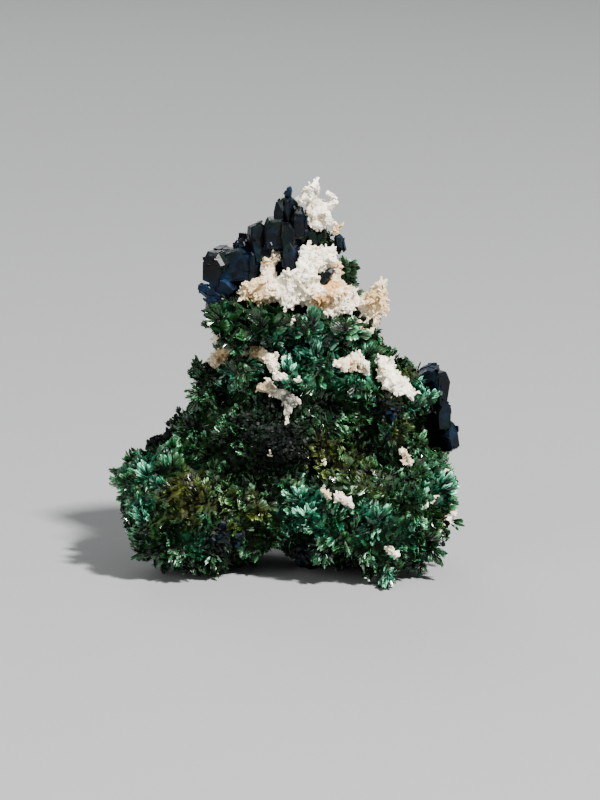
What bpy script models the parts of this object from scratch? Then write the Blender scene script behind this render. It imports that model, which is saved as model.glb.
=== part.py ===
"""A small malachite specimen that stands on its own base.

A craggy, roughly triangular mass of fibrous malachite narrows to a spire. Crusts and chips of white
crystals lie on it, and dark blue azurite crystals grow at the top, on the left and on the right rim.
Shapes are worked out in millimetres, seen from the front, and the last step turns them into metres.
"""

import math
import random

import bmesh
import bpy
from mathutils import Matrix, Vector, noise
from mathutils.bvhtree import BVHTree

MM = 0.001
SEED = 7

# The specimen is measured in the plane of view, which looks down on it by this much.
VIEW_ELEVATION = math.radians(12)
COS_VIEW = math.cos(VIEW_ELEVATION)
SIN_VIEW = math.sin(VIEW_ELEVATION)

# Sizes in millimetres
GAP = 0.34
CORE_INSET = 1.35
CORE_VOXEL = 0.42
MASS_VOXEL = 0.3
FINE_VOXEL = 0.2
RING_POINTS = 28
SQUARENESS = 0.8

# Sheaves of fibres: how far apart, how large, how they vary and lean. Each ring of one is given by its
# half width and half depth as shares of the sheaf's width, and its place as a share of the height, or of
# the width below the surface.
TUFT_SPACING = 2.3
TUFT_WIDTH = 1.15
TUFT_HEIGHT = 1.0
TUFT_SIDES = 7
TUFT_SIZES = (0.7, 1.15)
TUFT_LEAN = 0.55
TUFT_ROOT = (0.5, 0.4)
TUFT_SHOULDER = (1.0, 0.75, 0.55)
TUFT_TIP = (0.55, 0.4)

# Bumps: cell and height. Each set of them starts from its own place in the noise.
MASS_BUMPS = [(2.4, 1.2), (1.2, 0.6)]
CRUST_BUMPS = (0.9, 0.4)
CRUST_NOISE = 3
NOISE_STEP = Vector((7.3, 3.1, 5.7))

# Triangles kept on the large solids
MASS_TRIANGLES = 5150
CRUST_TRIANGLES_PER_MM2 = 1.5
ROOM_TRIANGLES_PER_MM2 = 1.2
FEWEST_TRIANGLES = 56

# Height seen, left edge, right edge, front depth and back depth of the malachite mass
CORE_ROWS = [
    (-0.6, -10.6, 12.2, 0.2, 6.6),
    (1.2, -12.4, 13.7, -3.4, 7.6),
    (3.0, -14.4, 15.2, -5.6, 8.2),
    (5.0, -16.0, 16.3, -6.2, 8.6),
    (7.0, -17.0, 16.8, -6.2, 8.6),
    (9.0, -16.2, 16.3, -6.0, 8.4),
    (10.4, -13.6, 15.5, -5.8, 8.2),
    (12.5, -11.4, 15.2, -5.4, 7.8),
    (15.0, -9.6, 14.8, -5.0, 7.2),
    (17.4, -8.3, 14.3, -4.8, 6.6),
    (18.9, -7.8, 11.9, -4.8, 6.2),
    (20.8, -7.2, 9.8, -4.6, 5.8),
    (22.8, -7.6, 8.9, -3.6, 5.2),
    (24.8, -6.9, 8.0, -2.8, 4.8),
    (26.8, -4.6, 7.2, -2.3, 4.2),
    (28.8, -3.3, 6.8, -1.9, 3.8),
    (30.8, -2.2, 5.9, -1.6, 3.2),
    (32.0, -1.4, 4.8, -1.2, 2.6),
]

# Right, up and depth of the centre, then half width, half height and half depth
MAIN_LUMPS = {
    "left_foot": (-9.6, 4.6, -4.2, 5.0, 3.8, 3.4),
    "left_wing": (-12.8, 7.4, -2.2, 2.6, 1.9, 3.0),
    "right_foot": (8.2, 5.2, -5.4, 6.2, 4.4, 3.3),
    "right_foot_tuft": (2.6, 5.6, -6.4, 2.4, 2.2, 2.2),
    "right_rim": (13.0, 7.0, -2.2, 2.4, 4.4, 3.6),
    "right_shoulder": (10.8, 15.8, -2.6, 2.5, 2.4, 3.6),
    "right_crag": (10.4, 12.0, -5.2, 2.2, 1.7, 1.8),
    "centre_boss": (-1.0, 13.2, -4.2, 5.4, 3.2, 2.4),
    "mid_band": (0.6, 18.2, -4.4, 7.0, 2.0, 2.4),
    "left_ledge": (-2.4, 22.2, -4.6, 5.0, 1.3, 2.4),
    "right_ledge": (4.4, 22.2, -4.4, 3.0, 1.2, 2.3),
    "left_shelf": (-5.6, 24.0, -1.6, 1.8, 1.4, 2.2),
    "left_flank": (-6.2, 16.4, -1.6, 1.9, 3.0, 3.0),
    "back_ridge": (1.5, 13.0, 6.8, 6.0, 7.0, 2.0),
    "back_left_foot": (-8.0, 4.0, 7.0, 4.0, 3.4, 2.2),
    "back_right_foot": (9.0, 4.6, 7.0, 4.6, 3.8, 2.0),
    "knob_stem": (9.2, 0.6, -7.2, 1.1, 1.7, 1.2),
    "knob": (9.2, -0.8, -8.1, 0.95, 1.1, 0.95),
}

# Right, up and depth of each pad that the mass stands on, then its half width and half depth
FOOT_PADS = [
    (-8.2, 0.3, 1.6, 2.6, 1.6),
    (-8.0, 1.2, 5.8, 2.0, 1.6),
    (8.4, 0.3, 1.8, 3.2, 1.6),
    (7.0, 1.4, 6.4, 2.4, 1.6),
    (9.2, -1.75, -8.4, 0.8, 0.7),
]
PAD_HEIGHT = 1.1
FLOOR_BLOCK = 60.0

# Right, up and half width, half height and half depth of each hollow in the front
FRONT_HOLLOWS = {
    "pit_beside_the_foot": (1.9, 8.6, 1.3, 1.8, 2.4),
    "pit_under_the_boss": (-2.6, 8.6, 2.0, 0.9, 1.8),
    "undercut_of_right_ledge": (4.4, 20.6, 2.5, 0.8, 2.2),
    "undercut_of_left_ledge": (-3.6, 20.9, 2.8, 0.6, 1.6),
    "cleft_under_the_crag": (8.4, 12.2, 1.8, 0.8, 2.0),
    "hole_at_the_right": (13.0, 12.7, 1.2, 0.9, 2.2),
    "cleft_in_the_right_foot": (5.0, 4.4, 2.2, 0.7, 1.6),
    "cleft_beside_the_chip": (10.6, 7.4, 1.6, 0.8, 1.6),
    "hollow_of_left_flank": (-5.4, 16.8, 1.2, 1.6, 1.5),
    "cleft_of_left_wing": (-12.8, 5.2, 0.8, 2.0, 1.4),
    "cleft_of_left_foot": (-8.6, 9.6, 2.2, 0.7, 1.5),
}

# Right, up and radius of the lobes that hang along the front's lower edge
HEM_LOBES = [
    (-12.4, 1.9, 0.9), (-11.0, 0.9, 0.8), (-9.6, 1.1, 0.9), (-8.2, 1.2, 0.9), (-7.0, 0.7, 0.75),
    (-5.8, 1.3, 0.8), (-4.7, 2.2, 0.8), (0.2, 2.3, 0.7), (1.2, 1.7, 0.8), (2.6, 1.6, 0.9),
    (4.0, 1.2, 0.8), (5.4, 0.9, 0.8), (6.8, 0.8, 0.8), (8.0, 0.9, 0.8), (10.8, 0.9, 0.8),
    (12.2, 0.8, 0.8), (13.4, 1.5, 0.8), (14.0, 2.9, 0.8),
]
HEM_DEPTH = -4.2
ARCH = {"right": -1.5, "half_width": 3.2, "half_height": 3.3, "reach": 30.0}

# Right, up and radius of each lobe of a crust, in the order in which they grow from one another.
# A lobe past the rim of the mass keeps the depth of the lobe before it.
WHITE_CRUSTS = {
    "white_crystals_summit": [
        (2.5, 31.9, 1.1), (3.4, 31.8, 0.7), (2.7, 33.3, 1.15), (3.9, 33.2, 0.7), (4.6, 33.7, 0.52),
        (2.2, 34.6, 0.85), (2.9, 35.5, 0.5), (3.05, 36.05, 0.3), (1.5, 33.9, 0.5), (4.1, 32.3, 0.4),
    ],
    "white_crust_shoulder": [
        (-1.4, 28.8, 0.9), (-1.6, 27.4, 0.9), (-3.0, 25.9, 1.15), (-4.0, 25.0, 0.5), (-1.4, 25.6, 1.3),
        (-2.3, 24.8, 0.8), (0.6, 26.2, 1.5), (0.3, 24.6, 0.95), (1.9, 28.6, 1.35), (1.6, 27.0, 1.4),
        (1.4, 29.7, 0.6), (3.4, 28.6, 1.3), (4.2, 29.4, 0.7), (4.5, 27.6, 1.0), (2.6, 25.4, 1.5),
        (4.4, 25.4, 1.4), (4.0, 23.7, 1.0), (5.9, 25.3, 0.95), (5.6, 24.0, 0.8), (7.4, 24.2, 0.95),
        (8.3, 24.9, 1.15), (8.6, 26.1, 0.8), (8.9, 24.1, 0.8), (8.2, 23.1, 0.85), (7.5, 22.1, 0.75),
    ],
    "white_crust_band_left": [
        (-3.7, 20.1, 0.6), (-2.9, 20.1, 0.8), (-2.1, 19.8, 0.75), (-1.4, 19.2, 0.75), (-0.9, 18.6, 0.6),
    ],
    "white_crust_edge_left": [(-6.4, 19.3, 0.85), (-5.6, 19.9, 0.75), (-5.2, 20.3, 0.5)],
    "white_chip_edge_upper": [(-6.2, 21.5, 0.7), (-5.7, 22.0, 0.6)],
    "white_chip_band_centre": [(-0.9, 17.8, 0.45), (-0.2, 17.8, 0.45)],
    "grey_crust_centre": [
        (-2.2, 16.7, 0.65), (-1.5, 16.7, 0.7), (-0.8, 16.3, 0.6), (0.0, 16.1, 0.75), (0.5, 15.3, 0.75),
        (0.2, 14.5, 0.5),
    ],
    "white_crust_right_inner": [
        (5.3, 18.8, 0.65), (6.0, 19.2, 0.8), (6.6, 19.6, 0.65), (7.1, 18.8, 0.8), (7.5, 18.2, 0.5),
    ],
    "white_crust_right_outer": [
        (8.9, 19.2, 0.75), (9.3, 18.3, 1.0), (9.9, 17.3, 1.1), (10.7, 16.8, 0.9), (10.3, 16.3, 0.6),
        (11.5, 16.4, 0.7),
    ],
    "white_chip_right_small": [(10.7, 10.8, 0.45), (11.1, 10.2, 0.5), (11.4, 9.7, 0.4)],
    "white_chip_low_inner": [(3.5, 7.4, 0.42), (3.8, 6.9, 0.45)],
    "white_chip_low_outer": [(4.7, 6.9, 0.5), (5.3, 6.5, 0.55), (6.0, 6.1, 0.45)],
    "white_crust_rim_right": [(15.3, 4.7, 0.65), (15.7, 5.1, 0.5), (15.1, 4.0, 0.5)],
    "white_chip_foot": [(9.6, 1.9, 0.5), (10.1, 1.5, 0.55)],
    "white_chip_spire": [(4.6, 31.2, 0.5), (4.7, 31.6, 0.4)],
}
LOBE_LIFT = 0.5
LOBE_STEP = 1.0

# Blocky crystals on a crust: how far apart, how much they lean, and the ranges of their width and of
# their length and thickness as shares of it. They face outwards and a little up.
CRYSTAL_SPACING = 1.5
CRYSTAL_LEAN = 0.6
CRYSTAL_WIDTHS = (0.4, 0.65)
CRYSTAL_LENGTHS = (1.2, 1.7)
CRYSTAL_THICKNESSES = (0.7, 1.0)
CRYSTAL_SIDES = 4
OUTWARD_RISE = 0.35
LEAST_FACING = 0.05

# Crusts on the back, where lobes are set in the same way but seen from behind
BACK_CRUSTS = {
    "white_crust_back_upper": [(-0.8, 25.0, 0.8), (0.4, 24.2, 0.9), (1.6, 23.6, 0.8), (1.0, 25.4, 0.6)],
    "white_crust_back_lower": [(5.6, 11.0, 0.7), (6.6, 10.2, 0.8), (7.6, 10.6, 0.5)],
    "white_chip_back": [(-5.4, 13.6, 0.5), (-4.7, 13.0, 0.6)],
}

# Right, up and depth of a tabular crystal's centre, its width, height and thickness, then its turn about
# the vertical, its lean to the side and its tilt back, in degrees
AZURITE_TABLES = {
    "azurite_cluster": [
        (-6.0, 28.0, 0.3, 2.5, 3.2, 2.6, -38, 12, 6),
        (-4.5, 28.1, 0.4, 3.0, 3.2, 2.4, -6, -5, -5),
        (-3.2, 27.9, 0.0, 1.3, 3.4, 1.8, 28, 4, 4),
        (-2.4, 30.1, 0.1, 1.9, 3.7, 1.8, 14, -8, -6),
        (-3.6, 29.2, 1.4, 2.6, 2.6, 2.0, -20, 8, 10),
        (-5.6, 26.3, 0.2, 2.6, 1.8, 2.4, -16, 24, 10),
        (-7.0, 25.6, -0.2, 0.9, 2.4, 0.8, -20, -62, 0),
        (-0.9, 31.0, -0.7, 2.2, 2.9, 1.5, 8, 4, 6),
        (-0.5, 32.6, -0.5, 1.0, 2.8, 0.9, -24, 4, 0),
        (0.4, 33.2, -0.5, 1.4, 2.2, 1.3, 20, -6, 4),
        (1.1, 31.9, -1.1, 1.2, 3.0, 1.0, 32, 6, -4),
        (0.4, 30.6, -1.3, 1.3, 2.6, 1.4, -14, -4, 0),
        (0.3, 34.5, -0.4, 0.55, 1.5, 0.55, -12, 8, 4),
        (0.5, 28.7, -1.7, 1.2, 3.0, 1.2, -18, -6, -8),
    ],
    "azurite_shelf_left": [(-6.5, 24.3, -1.1, 1.5, 1.7, 1.4, 14, 12, 8)],
    "azurite_rim_right": [
        (13.9, 16.9, -1.2, 1.5, 3.1, 2.6, 34, 8, 0),
        (14.2, 14.6, -1.0, 1.5, 3.0, 2.8, 22, -4, 6),
        (14.7, 12.4, -0.6, 1.4, 2.8, 2.6, 46, -8, -6),
        (13.2, 18.0, -1.0, 1.8, 1.2, 2.2, -14, -24, 4),
    ],
}
# A crystal's outline as shares of its width and height, from its right edge round by the top
TABLE_OUTLINE = [(0.5, 0.24), (0.16, 0.5), (-0.34, 0.44), (-0.5, 0.1), (-0.42, -0.5), (0.44, -0.5)]
# Places through its thickness, and the outline's scale there: the front face is bevelled
TABLE_LAYERS = [(-0.5, 1.0), (0.36, 1.0), (0.5, 0.86)]
PRISM_SIDES = 6
PRISM_POINT = 0.2

# Right, up and depth outwards of a single crystal, its width, length and thickness, and its lean
AZURITE_SINGLES = {
    "azurite_crystal_shoulder": [(3.8, 27.0, 0.1, 0.8, 1.75, 0.8, 34)],
    "azurite_band_summit": [
        (1.7, 30.8, 0.0, 1.1, 1.4, 1.2, 40),
        (2.5, 30.5, 0.1, 1.0, 1.4, 1.1, -20),
        (3.2, 30.7, 0.0, 1.0, 1.2, 1.1, 60),
    ],
    "azurite_crystal_right": [(4.95, 30.2, 0.1, 0.85, 1.6, 1.0, -6)],
}

SHADES = {
    "malachite": ((0.012, 0.085, 0.045, 1.0), 0.45),
    "white_crystal": ((0.78, 0.72, 0.62, 1.0), 0.5),
    "azurite": ((0.008, 0.014, 0.04, 1.0), 0.25),
}


def clear_scene():
    for obj in list(bpy.data.objects):
        bpy.data.objects.remove(obj)


def shade(name):
    """The Principled material of a mineral, made once."""
    material = bpy.data.materials.get(name)
    if material is None:
        colour, roughness = SHADES[name]
        material = bpy.data.materials.new(name)
        material.use_nodes = True
        shader = material.node_tree.nodes["Principled BSDF"]
        shader.inputs["Base Color"].default_value = colour
        shader.inputs["Roughness"].default_value = roughness
        shader.inputs["Metallic"].default_value = 0.0
    return material


def seen(right, up, depth):
    """The point that is seen at right and up in the plane of view, at a depth into it."""
    return Vector((right, depth, (up - depth * SIN_VIEW) / COS_VIEW))


# Mesh tools

def new_object(name, bm, mineral):
    bm.normal_update()
    mesh = bpy.data.meshes.new(name)
    bm.to_mesh(mesh)
    bm.free()
    obj = bpy.data.objects.new(name, mesh)
    obj.data.materials.append(shade(mineral))
    bpy.context.scene.collection.objects.link(obj)
    return obj


def remove_object(obj):
    mesh = obj.data
    bpy.data.objects.remove(obj)
    bpy.data.meshes.remove(mesh)


def apply_modifiers(obj):
    graph = bpy.context.evaluated_depsgraph_get()
    made = bpy.data.meshes.new_from_object(obj.evaluated_get(graph), depsgraph=graph)
    plain = obj.data
    obj.modifiers.clear()
    obj.data = made
    bpy.data.meshes.remove(plain)


def fuse(obj, voxel):
    """Overlapping closed shapes become one closed skin."""
    remesh = obj.modifiers.new("fuse", "REMESH")
    remesh.mode = "VOXEL"
    remesh.voxel_size = voxel
    apply_modifiers(obj)


def thin_out(obj, triangles):
    obj.data.calc_loop_triangles()
    decimate = obj.modifiers.new("thin_out", "DECIMATE")
    decimate.ratio = min(1.0, triangles / len(obj.data.loop_triangles))
    decimate.use_collapse_triangulate = True
    apply_modifiers(obj)


def combine(obj, other, operation):
    boolean = obj.modifiers.new("combine", "BOOLEAN")
    boolean.operation = operation
    boolean.solver = "EXACT"
    boolean.use_self = operation == "UNION"
    boolean.object = other
    apply_modifiers(obj)


def keep_largest(obj):
    """Deletes the crumbs that a cut leaves beside the main piece."""
    bm = bmesh.new()
    bm.from_mesh(obj.data)
    unseen = set(bm.faces)
    islands = []
    while unseen:
        island = []
        edge_of_search = [unseen.pop()]
        while edge_of_search:
            face = edge_of_search.pop()
            island.append(face)
            near = {f for edge in face.edges for f in edge.link_faces} & unseen
            unseen -= near
            edge_of_search.extend(near)
        islands.append(island)
    islands.sort(key=lambda island: sum(face.calc_area() for face in island))
    crumbs = [face for island in islands[:-1] for face in island]
    bmesh.ops.delete(bm, geom=crumbs, context="FACES")
    bm.to_mesh(obj.data)
    bm.free()


def roughen(obj, cell, height, step):
    """Rounded bumps about one cell wide, with creases between them."""
    shift = NOISE_STEP * step
    moves = []
    for vertex in obj.data.vertices:
        nearest = noise.voronoi(vertex.co / cell + shift)[0][0]
        moves.append(vertex.normal * height * (0.5 - nearest))
    for vertex, move in zip(obj.data.vertices, moves):
        vertex.co += move


# Shapes

def add_ellipsoid(bm, centre, half_sizes, subdivisions=2):
    matrix = Matrix.Translation(centre) @ Matrix.Diagonal((*half_sizes, 1.0))
    bmesh.ops.create_icosphere(bm, subdivisions=subdivisions, radius=1.0, matrix=matrix)


def add_rings(bm, rings):
    """A closed skin through rings of equal count, with a flat cap at each end."""
    loops = [[bm.verts.new(point) for point in ring] for ring in rings]
    count = len(loops[0])
    for lower, upper in zip(loops, loops[1:]):
        for i in range(count):
            j = (i + 1) % count
            bm.faces.new((lower[i], lower[j], upper[j], upper[i]))
    bm.faces.new(list(reversed(loops[0])))
    bm.faces.new(loops[-1])


def ring(matrix, sides, half_width, half_depth, height):
    points = []
    for i in range(sides):
        angle = math.tau * i / sides
        flat = Vector((half_width * math.cos(angle), half_depth * math.sin(angle), height))
        points.append(matrix @ flat)
    return points


def frame_along(point, direction, spin=0.0):
    """A frame at point whose Z runs along direction."""
    turn = direction.to_track_quat("Z", "Y").to_matrix().to_4x4()
    return Matrix.Translation(point) @ turn @ Matrix.Rotation(spin, 4, "Z")


def add_tuft(bm, point, direction, width, height):
    """A sheaf of fibres as a solid fan: narrow where it starts under the surface, broad and domed above."""
    frame = frame_along(point, direction)
    rings = [
        (*TUFT_ROOT, -width),
        (TUFT_SHOULDER[0], TUFT_SHOULDER[1], height * TUFT_SHOULDER[2]),
        (*TUFT_TIP, height),
    ]
    add_rings(bm, [ring(frame, TUFT_SIDES, width * wide, width * deep, at) for wide, deep, at in rings])


def add_prism(bm, frame, width, length, thickness, sides=PRISM_SIDES):
    """A prismatic crystal on its frame's origin: straight sides and a blunt point at both ends."""
    body = length * (0.5 - PRISM_POINT)
    rings = [(PRISM_POINT, -length / 2), (0.5, -body), (0.5, body), (PRISM_POINT, length / 2)]
    add_rings(bm, [ring(frame, sides, width * share, thickness * share, at) for share, at in rings])


def add_table(bm, frame, width, height, thickness):
    """A thick tabular crystal with bevelled faces, standing in the frame's XZ plane."""
    rings = []
    for depth, scale in TABLE_LAYERS:
        rings.append([
            frame @ Vector((x * width * scale, -depth * thickness, z * height * scale))
            for x, z in TABLE_OUTLINE
        ])
    add_rings(bm, rings)


# The malachite mass

def core_ring(up, left, right, front, back):
    centre_x = (left + right) / 2
    centre_y = (front + back) / 2
    half_x = (right - left) / 2 - CORE_INSET
    half_y = (back - front) / 2 - CORE_INSET
    points = []
    for i in range(RING_POINTS):
        angle = math.tau * i / RING_POINTS
        x = math.copysign(abs(math.cos(angle)) ** SQUARENESS, math.cos(angle))
        y = math.copysign(abs(math.sin(angle)) ** SQUARENESS, math.sin(angle))
        points.append(Vector((centre_x + half_x * x, centre_y + half_y * y, up / COS_VIEW)))
    return points


def scattered_points(obj, spacing, rng):
    """Vertices picked in random order, each at least the spacing from those before it."""
    order = list(range(len(obj.data.vertices)))
    rng.shuffle(order)
    picked = []
    cells = {}
    for index in order:
        vertex = obj.data.vertices[index]
        key = tuple(int(math.floor(c / spacing)) for c in vertex.co)
        near = [
            other
            for dx in (-1, 0, 1) for dy in (-1, 0, 1) for dz in (-1, 0, 1)
            for other in cells.get((key[0] + dx, key[1] + dy, key[2] + dz), [])
        ]
        if all((other - vertex.co).length >= spacing for other in near):
            cells.setdefault(key, []).append(vertex.co.copy())
            picked.append((vertex.co.copy(), vertex.normal.copy()))
    return picked


def malachite_body():
    """The bare mass: the stacked core and its main lumps, with the arch between the feet."""
    bm = bmesh.new()
    add_rings(bm, [core_ring(*row) for row in CORE_ROWS])
    for right, up, depth, half_x, half_z, half_y in MAIN_LUMPS.values():
        add_ellipsoid(bm, seen(right, up, depth), (half_x, half_y, half_z))
    for right, up, radius in HEM_LOBES:
        add_ellipsoid(bm, seen(right, up, HEM_DEPTH), (radius, 2 * radius, radius))
    for right, up, depth, half_x, half_y in FOOT_PADS:
        add_ellipsoid(bm, seen(right, up, depth), (half_x, half_y, PAD_HEIGHT))
    body = new_object("malachite_mass", bm, "malachite")
    fuse(body, CORE_VOXEL)

    cutter = bmesh.new()
    add_ellipsoid(
        cutter, Vector((ARCH["right"], 0, 0)), (ARCH["half_width"], ARCH["reach"], ARCH["half_height"]), 3
    )
    arch = new_object("arch_cutter", cutter, "malachite")
    combine(body, arch, "DIFFERENCE")
    remove_object(arch)
    return body


def hollow_out(body):
    """Cuts the pits and the undercuts of the ledges into the front."""
    front = Surface([body])
    cutter = bmesh.new()
    for right, up, half_x, half_z, half_y in FRONT_HOLLOWS.values():
        add_ellipsoid(cutter, front.at(right, up)[0], (half_x, half_y, half_z))
    hollows = new_object("hollow_cutter", cutter, "malachite")
    combine(body, hollows, "DIFFERENCE")
    remove_object(hollows)


def grow_tufts(body, rng):
    """Covers the mass with fans of fibres and fuses them to it."""
    bm = bmesh.new()
    bm.from_mesh(body.data)
    for point, normal in scattered_points(body, TUFT_SPACING, rng):
        lean = Vector([rng.uniform(-TUFT_LEAN, TUFT_LEAN) for _ in range(3)])
        size = rng.uniform(*TUFT_SIZES)
        add_tuft(bm, point, (normal + lean).normalized(), TUFT_WIDTH * size, TUFT_HEIGHT * size)
    bm.to_mesh(body.data)
    bm.free()


def cut_at_floor(body):
    """Leaves flat faces under the feet, where the mass stands."""
    bm = bmesh.new()
    below = Matrix.Translation((0, 0, -FLOOR_BLOCK / 2)) @ Matrix.Scale(FLOOR_BLOCK, 4)
    bmesh.ops.create_cube(bm, size=1.0, matrix=below)
    block = new_object("floor_cutter", bm, "malachite")
    combine(body, block, "DIFFERENCE")
    remove_object(block)


def make_malachite(rng):
    """The mass before the other minerals are set in it."""
    body = malachite_body()
    fuse(body, CORE_VOXEL)
    hollow_out(body)
    grow_tufts(body, rng)
    fuse(body, CORE_VOXEL)
    for step, (cell, height) in enumerate(MASS_BUMPS, start=1):
        roughen(body, cell, height, step)
    fuse(body, CORE_VOXEL)
    return body


# Placing minerals on the mass

class Surface:
    """Finds where the line of sight meets the objects' front, or their back when looked at from behind."""

    def __init__(self, objects, behind=False):
        bm = bmesh.new()
        for obj in objects:
            bm.from_mesh(obj.data)
        self.tree = BVHTree.FromBMesh(bm)
        bm.free()
        self.side = 1 if behind else -1

    def at(self, right, up, fallback=None):
        """The point and its normal, or the fallback's depth where the sight line passes the object by."""
        start = seen(right, up, self.side * FLOOR_BLOCK)
        sight = seen(right, up, 0) - start
        point, normal, _, _ = self.tree.ray_cast(start, sight.normalized())
        if point is not None:
            return point, normal
        if fallback is None:
            near, normal, _, _ = self.tree.find_nearest(seen(right, up, 0))
            return seen(right, up, near.y), normal
        return seen(right, up, fallback.y), Vector((0, self.side, 0))


def set_lobes(body):
    """The centre and radius of every lobe on the mass, by crust."""
    crusts = {}
    for table, behind in ((WHITE_CRUSTS, False), (BACK_CRUSTS, True)):
        surface = Surface([body], behind)
        for name, lobes in table.items():
            placed = []
            for right, up, radius in lobes:
                point, _ = surface.at(right, up, placed[-1][0] if placed else None)
                centre = point + Vector((0, surface.side * LOBE_LIFT * radius, 0))
                if placed:
                    centre.y = held_near(centre, placed, LOBE_STEP * radius)
                placed.append((seen(right, up, centre.y), radius))
            crusts[name] = placed
    return crusts


def held_near(centre, placed, step):
    """The depth of a lobe's centre, no further than the step from the depth of the lobe beside it."""
    beside, _ = min(placed, key=lambda lobe: math.hypot(lobe[0].x - centre.x, lobe[0].z - centre.z))
    return max(min(centre.y, beside.y + step), beside.y - step)


def room_for(pieces):
    """One closed shape that is larger all round than the pieces by the gap."""
    bm = bmesh.new()
    for piece in pieces:
        twin = bpy.data.objects.new("room", piece.data.copy())
        bpy.context.scene.collection.objects.link(twin)
        fuse(twin, FINE_VOXEL)
        bm.from_mesh(twin.data)
        remove_object(twin)
    bm.normal_update()
    for vertex in bm.verts:
        vertex.co += vertex.normal * GAP
    room = new_object("room", bm, "malachite")
    fuse(room, FINE_VOXEL)
    return room


def make_room(outer, inners, triangles_per_mm2=None):
    """Cuts the outer piece clear of the inner ones. A number of triangles makes the cut coarser."""
    near = [inner for inner in inners if boxes_meet(outer, inner)]
    if near:
        room = room_for(near)
        if triangles_per_mm2:
            thin_out(room, max(FEWEST_TRIANGLES, triangles_per_mm2 * surface_area(room)))
        combine(outer, room, "DIFFERENCE")
        remove_object(room)
        keep_largest(outer)


def boxes_meet(first, second):
    for axis in range(3):
        a = [vertex.co[axis] for vertex in first.data.vertices]
        b = [vertex.co[axis] for vertex in second.data.vertices]
        if max(a) + GAP < min(b) or max(b) + GAP < min(a):
            return False
    return True


def surface_area(obj):
    return sum(polygon.area for polygon in obj.data.polygons)


def crystals_on(obj, rng, outward):
    """Blocky crystals that stand out of a crust, as one object to join to it."""
    bm = bmesh.new()
    for point, normal in scattered_points(obj, CRYSTAL_SPACING, rng):
        if normal.dot(outward) < LEAST_FACING:
            continue
        lean = Vector([rng.uniform(-CRYSTAL_LEAN, CRYSTAL_LEAN) for _ in range(3)])
        width = rng.uniform(*CRYSTAL_WIDTHS)
        frame = frame_along(point, (normal + lean).normalized(), rng.uniform(0, math.tau))
        length = width * rng.uniform(*CRYSTAL_LENGTHS)
        thickness = width * rng.uniform(*CRYSTAL_THICKNESSES)
        add_prism(bm, frame, width, length, thickness, CRYSTAL_SIDES)
    return new_object("crystals", bm, "white_crystal")


def make_crust(name, lobes, rng):
    """A crust of white crystals: lobes fused, roughened, and set with blocky crystals."""
    side = 1 if name in BACK_CRUSTS else -1
    bm = bmesh.new()
    for centre, radius in lobes:
        add_ellipsoid(bm, centre, (radius, radius, radius))
    crust = new_object(name, bm, "white_crystal")
    fuse(crust, FINE_VOXEL)
    roughen(crust, *CRUST_BUMPS, CRUST_NOISE)
    fuse(crust, FINE_VOXEL)
    thin_out(crust, max(FEWEST_TRIANGLES, CRUST_TRIANGLES_PER_MM2 * surface_area(crust)))
    crystals = crystals_on(crust, rng, Vector((0, side, OUTWARD_RISE)).normalized())
    if len(crystals.data.polygons):
        combine(crust, crystals, "UNION")
    remove_object(crystals)
    keep_largest(crust)
    return crust


def make_tables(name, tables):
    """A cluster of thick tabular azurite crystals grown into one another."""
    shapes = []
    for right, up, depth, width, height, thickness, turn, lean, tilt in tables:
        frame = (
            Matrix.Translation(seen(right, up, depth))
            @ Matrix.Rotation(math.radians(turn), 4, "Z")
            @ Matrix.Rotation(math.radians(lean), 4, "Y")
            @ Matrix.Rotation(math.radians(tilt), 4, "X")
        )
        bm = bmesh.new()
        add_table(bm, frame, width, height, thickness)
        shapes.append(new_object(name, bm, "azurite"))
    return unite(shapes)


def make_singles(name, singles, surface):
    """Small azurite crystals that stick out of what they grow on."""
    shapes = []
    for right, up, out, width, length, thickness, lean in singles:
        point, _ = surface.at(right, up)
        place = Matrix.Translation(point + Vector((0, -out, 0)))
        frame = place @ Matrix.Rotation(math.radians(lean), 4, "Y")
        bm = bmesh.new()
        add_prism(bm, frame, width, length, thickness)
        shapes.append(new_object(name, bm, "azurite"))
    return unite(shapes)


def unite(shapes):
    """Joins overlapping shapes with Booleans, which keep their faces flat. The first one gives the name."""
    whole = shapes[0]
    for other in shapes[1:]:
        combine(whole, other, "UNION")
        remove_object(other)
    return whole


def to_metres(pieces):
    """Scales the pieces to metres, with the middle of the base at the origin."""
    corners = [vertex.co for piece in pieces for vertex in piece.data.vertices]
    middle_x = (min(c.x for c in corners) + max(c.x for c in corners)) / 2
    middle_y = (min(c.y for c in corners) + max(c.y for c in corners)) / 2
    move = Matrix.Scale(MM, 4) @ Matrix.Translation((-middle_x, -middle_y, 0))
    for piece in pieces:
        piece.data.transform(move)
        piece.data.shade_flat()


def main():
    clear_scene()
    rng = random.Random(SEED)
    mass = make_malachite(rng)
    crusts = [make_crust(name, lobes, rng) for name, lobes in set_lobes(mass).items()]
    azurites = [make_tables(name, tables) for name, tables in AZURITE_TABLES.items()]
    front = Surface([mass, *crusts])
    azurites += [make_singles(name, singles, front) for name, singles in AZURITE_SINGLES.items()]
    minerals = [*azurites, *crusts]
    for index, mineral in enumerate(minerals):
        make_room(mineral, minerals[:index], ROOM_TRIANGLES_PER_MM2)
    make_room(mass, minerals)
    fuse(mass, MASS_VOXEL)
    thin_out(mass, MASS_TRIANGLES)
    cut_at_floor(mass)
    keep_largest(mass)
    to_metres([*minerals, mass])


main()
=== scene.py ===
"""The look of the malachite specimen: fibrous fans, white crystal crusts and dark azurite."""

import math

import bpy
import numpy as np
from mathutils import Matrix, Vector, noise
from mathutils.bvhtree import BVHTree


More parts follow.
